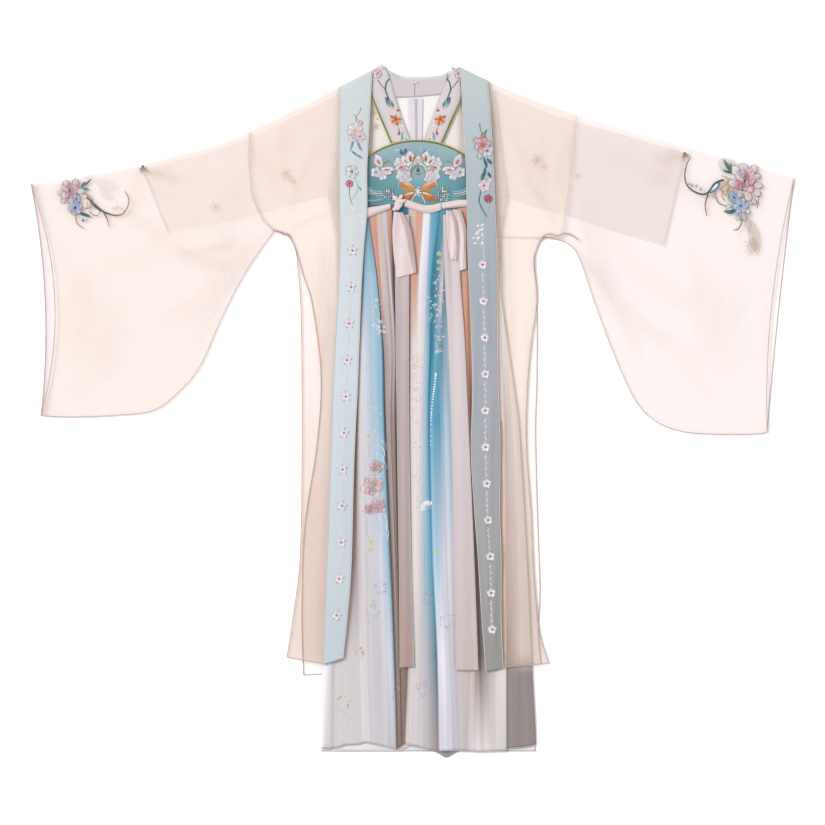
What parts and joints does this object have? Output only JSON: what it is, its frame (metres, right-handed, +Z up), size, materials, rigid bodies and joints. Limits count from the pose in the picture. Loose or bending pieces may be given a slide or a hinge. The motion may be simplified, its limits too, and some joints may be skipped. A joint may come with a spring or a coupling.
{
  "type": "hanfu robe set with inner top and chest-high pleated skirt",
  "caption": "Open wide-sleeved sheer robe with embroidered front bands over a V-necked inner top and a chest-high pleated skirt with ribbon ties, laid flat.",
  "frame": {"origin": "centre of the laid-out set's bounding rectangle, on the surface it lies on", "axes": "+X towards the viewer's right along the sleeves, +Y towards the neck, +Z up from the surface through the layers"},
  "size_m": [1.526, 1.388, 0.0149],
  "materials": {
    "peach_chiffon": "sheer matt chiffon with a fine crosswise crinkle",
    "pale_blue_satin": "soft satin with multicoloured embroidery",
    "cream_chiffon": "sheer matt chiffon with small printed flowers",
    "grey_pink_satin": "soft satin with multicoloured embroidery",
    "teal_satin": "satin with raised embroidery and set stones",
    "olive_cord": "fine corded piping",
    "lavender_tape": "woven zip tape",
    "blue_chiffon": "sheer chiffon, dyed in a gradient and printed with flowers",
    "white_lining": "thin plain lining",
    "pink_ribbon": "folded chiffon ribbon",
    "white_button": "small glossy button"
  },
  "bodies": {
    "root": {"robe_back": "peach_chiffon", "robe_front_left": "peach_chiffon", "robe_front_right": "peach_chiffon", "robe_sleeve_left": "peach_chiffon", "robe_sleeve_right": "peach_chiffon", "robe_band_left": "pale_blue_satin", "robe_band_right": "pale_blue_satin", "robe_band_neck": "pale_blue_satin", "top_back": "cream_chiffon", "top_front": "cream_chiffon", "top_sleeve_left": "cream_chiffon", "top_sleeve_right": "cream_chiffon", "top_collar_left": "grey_pink_satin", "top_collar_right": "grey_pink_satin", "top_collar_back_left": "grey_pink_satin", "top_collar_back_right": "grey_pink_satin", "top_piping_left": "olive_cord", "top_piping_right": "olive_cord", "skirt_band_piping": "olive_cord", "top_zip": "lavender_tape", "neck_button": "white_button", "neck_loop": "white_button", "skirt_band_front": "teal_satin", "skirt_band_back": "teal_satin", "skirt_front": "blue_chiffon", "skirt_back": "blue_chiffon", "skirt_lining": "white_lining", "tie_left": "pink_ribbon", "tie_centre": "pink_ribbon", "tie_right": "pink_ribbon", "tie_knot_left": "pink_ribbon", "tie_tail_left": "pink_ribbon", "tie_tail_right": "pink_ribbon", "tie_loop_right": "pink_ribbon", "ribbon_left": "pink_ribbon", "ribbon_right": "pink_ribbon"}
  },
  "joints": []
}
